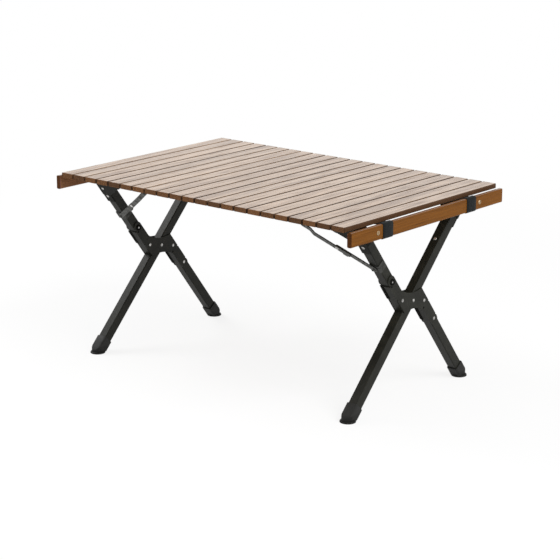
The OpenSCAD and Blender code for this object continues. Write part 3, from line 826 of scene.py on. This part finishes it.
def buildScrews(b, s):
    head, stud, small = crossHead("barScrew", b), template(studMesh(b)), crossHead("strapScrew", s)
    for sideName, side in handed:
        bar = "deck_end" if side > 0 else "bar_left"
        out, back = (side, 0, 0), (-side, 0, 0)
        spots = [(Vector((side*b["x"], y, b["z"])), out, sideways) for y in (-b["y"], b["y"])]
        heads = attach(fasteners("bar_screws_" + sideName, head, spots, screwSteel), bar)
        spots = [(Vector((side*b["studFrom"], y, b["z"])), back, sideways) for y in (-b["y"], b["y"])]
        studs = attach(fasteners("bar_pins_" + sideName, stud, spots, rivetSteel), bar)
        for piece in (heads, studs):
            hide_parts("bar_studs_" + sideName)
        spots = [(Vector((side*s["x"], y + k*s["apart"], s["z"])), (0, 0, -1), lengthways)
                 for _, y in strapMake["yPlaces"] for k in (-1, 1)]
        fixings = fasteners("strap_screws_" + sideName, small, spots, rivetSteel)
        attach(fixings, "deck_end" if side > 0 else "deck_01")
    for obj in (head, stud, small):
        bpy.data.objects.remove(obj)


buildScrews(barScrew, strapScrew)
print("rivets and screws set")

# sewn rows across the straps' tails
sewing = {"rows": (0.4275, 0.4415, 0.4440), "half": 0.0165, "z": 0.46835, "step": 0.0040, "length": 0.0030,
          "thread": 0.0007}


def buildStitches(s):
    for sideName, side in handed:
        runs = [[(side*x, y + s["half"]*k, s["z"]) for k in (-1, 1)]
                for _, y in strapMake["yPlaces"] for x in s["rows"]]
        name = "strap_stitches_" + sideName
        sewn = runTree(stitchTree, name, lineMesh(name, runs),
                       {"Step": s["step"], "Thread": s["thread"], "Length": s["length"],
                        "Finish": sewingThread})
        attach(sewn, "deck_end" if side > 0 else "deck_01")


buildStitches(sewing)
print("straps sewn")

# moulded plugs in the open ends of the leg and rail tubes
plug = {"leg": (0.0218, 0.0218), "rail": (0.0148, 0.0168), "depth": 0.006, "sink": 0.0004, "bevel": 0.0011,
        "legUp": 0.010, "railX": 0.394, "railOut": 0.0032}


def plugMesh(name, size, p):
    bm = bmesh.new()
    bmesh.ops.create_cube(bm, size=1.0)
    for v in bm.verts:
        v.co = Vector((v.co.x*size[0], v.co.y*size[1], (v.co.z - 0.5)*p["depth"]))
    top = [e for e in bm.edges if all(v.co.z > -tiny for v in e.verts)]
    tall = [e for e in bm.edges if abs(e.verts[0].co.z - e.verts[1].co.z) > tiny]
    bmesh.ops.bevel(bm, geom=top + tall, offset=p["bevel"], segments=3, affect="EDGES", profile=0.5)
    return closeMesh(bm, name, crease["plug"])


def buildPlugs(p):
    square = template(plugMesh("legPlug", p["leg"], p))
    oblong = template(plugMesh("railPlug", p["rail"], p))
    for frameName, spot in frames:
        up, out = spot(0, 1, 0) - spot(0, 0, 0), spot(0, 0, 1) - spot(0, 0, 0)
        for sideName, side in handed:
            spots = [(spot(side*legs["x"], p["legUp"] - p["sink"], 0), up, lengthways)]
            tag = "_%s_%s" % (frameName, sideName)
            legPlug = fasteners("leg_plug" + tag, square, spots, bootRubber)
            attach(legPlug, frameName + "_" + sideName)
            spots = [(spot(side*(p["railX"] - p["sink"]), 0, p["railOut"]), (side, 0, 0), out)]
            railPlug = fasteners("rail_plug" + tag, oblong, spots, bootRubber)
            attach(railPlug, "rail" + tag)
    for obj in (square, oblong):
        bpy.data.objects.remove(obj)


buildPlugs(plug)
print("tube ends plugged")

# rubber boots: a square sleeve down the leaning leg, an upright round toe and a grooved round sole
boot = {"sole": 0.0195, "base": 0.0045, "half": 0.015, "bore": 0.01253, "length": 0.044, "wall": 0.0025,
        "in": 0.0045, "sunk": 0.6, "toe": 0.0155, "knee": 0.0028, "spokes": 56, "nearY": -0.233145,
        "farY": 0.226637, "outside": 9, "inside": 12, "shoulder": 0.0012, "mouth": (0.0004, 0.0005),
        "rim": (0.0009, 0.0003)}  # outside and inside say how square the sleeve is
soleProfile = [(0.55, 0.16), (0.66, 0.10), (0.72, 0.0), (0.95, 0.0), (0.99, 0.12), (1.0, 0.34), (0.985, 0.50),
               (0.945, 0.58), (0.945, 0.66), (0.97, 0.74), (0.965, 0.92), (0.94, 1.0),
               (0.80, 1.06)]  # shares of the sole's radius and the base's height


def squareRing(half, power, count):  # a square with soft corners, as (x, y) pairs
    ring = []
    for k in range(count):
        c, s = math.cos(2*math.pi*k/count), math.sin(2*math.pi*k/count)
        reach = half/(abs(c)**power + abs(s)**power)**(1/power)
        ring.append((reach*c, reach*s))
    return ring


def bootRings(b, lean):
    turn = Matrix.Rotation(lean, 3, "X")
    way = turn @ Vector((0, 0, 1))
    outward = math.copysign(1, lean)
    floorZ, middle = b["base"]*b["sunk"], -outward*b["in"]
    legEnd = (b["base"]/2 + b["half"]*math.sin(abs(lean)))/math.cos(lean) + b["wall"]
    top, outside, inside = b["length"], b["outside"], b["inside"]

    def sleeve(half, along, power):
        return [turn @ Vector((x, y, along)) for x, y in squareRing(half, power, b["spokes"])]

    def down(x, y):  # from the collar along the leg, round the knee and down the toe to the sole
        start = turn @ Vector((x, y, 0))
        wall = (outward*math.sqrt(b["toe"]**2 - x*x) + middle - start.y)/way.y
        sole = (floorZ - start.z)/way.z
        first = start + way*(top - b["shoulder"])
        knee = start + way*max(wall, sole)
        last = Vector((x, knee.y, floorZ)) if wall > sole else knee
        soft = min(b["knee"], (knee - last).length*0.5)
        before, after = knee + way*soft, knee - Vector((0, 0, soft))
        bend = [before.lerp(knee, t).lerp(knee.lerp(after, t), t) for t in (0, 0.25, 0.5, 0.75, 1)]
        return [first, first.lerp(before, 0.5)] + bend + [after.lerp(last, 0.5), last]

    half, bore = b["half"], b["bore"]
    (wider, deeper), (rim, edge) = b["mouth"], b["rim"]
    body = list(zip(*(down(x, y) for x, y in squareRing(half, outside, b["spokes"]))))
    collar = [sleeve(bore, legEnd, inside), sleeve(bore, top - deeper, inside),
              sleeve(bore + wider, top, inside), sleeve(half - rim, top, outside),
              sleeve(half - edge, top - edge, outside)]
    circle = squareRing(b["sole"], 2, b["spokes"])
    sole = [[Vector((r*x, r*y + middle, z*b["base"])) for x, y in circle] for r, z in soleProfile]
    return sole, collar + body


def bootMesh(name, b, foot, lean):
    bm = bmesh.new()
    for rings in bootRings(b, lean):
        loops = [[bm.verts.new(foot + p) for p in ring] for ring in rings]
        for low, high in zip(loops, loops[1:]):
            for k in range(len(low)):
                j = (k + 1) % len(low)
                bm.faces.new((low[k], low[j], high[j], high[k]))
        for ring in (loops[0], loops[-1]):
            hub = bm.verts.new(sum((v.co for v in ring), Vector())/len(ring))
            for k in range(len(ring)):
                bm.faces.new((ring[k], ring[(k + 1) % len(ring)], hub))
    bmesh.ops.remove_doubles(bm, verts=bm.verts, dist=tiny)
    return closeMesh(bm, name, crease["boot"])


def buildBoots(b):
    for end, y, lean, frameName in (("near", b["nearY"], -legs["far"], "far"),
                                    ("far", b["farY"], legs["near"], "near")):
        for sideName, side in handed:
            name = "boot_%s_%s" % (end, sideName)
            mesh = bootMesh(name, b, Vector((side*legs["x"], y, 0)), lean)
            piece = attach(addPiece(name, mesh, bootRubber), frameName + "_" + sideName)
            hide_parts("%s_foot_%s" % (end, sideName))


buildBoots(boot)
print("boots on")
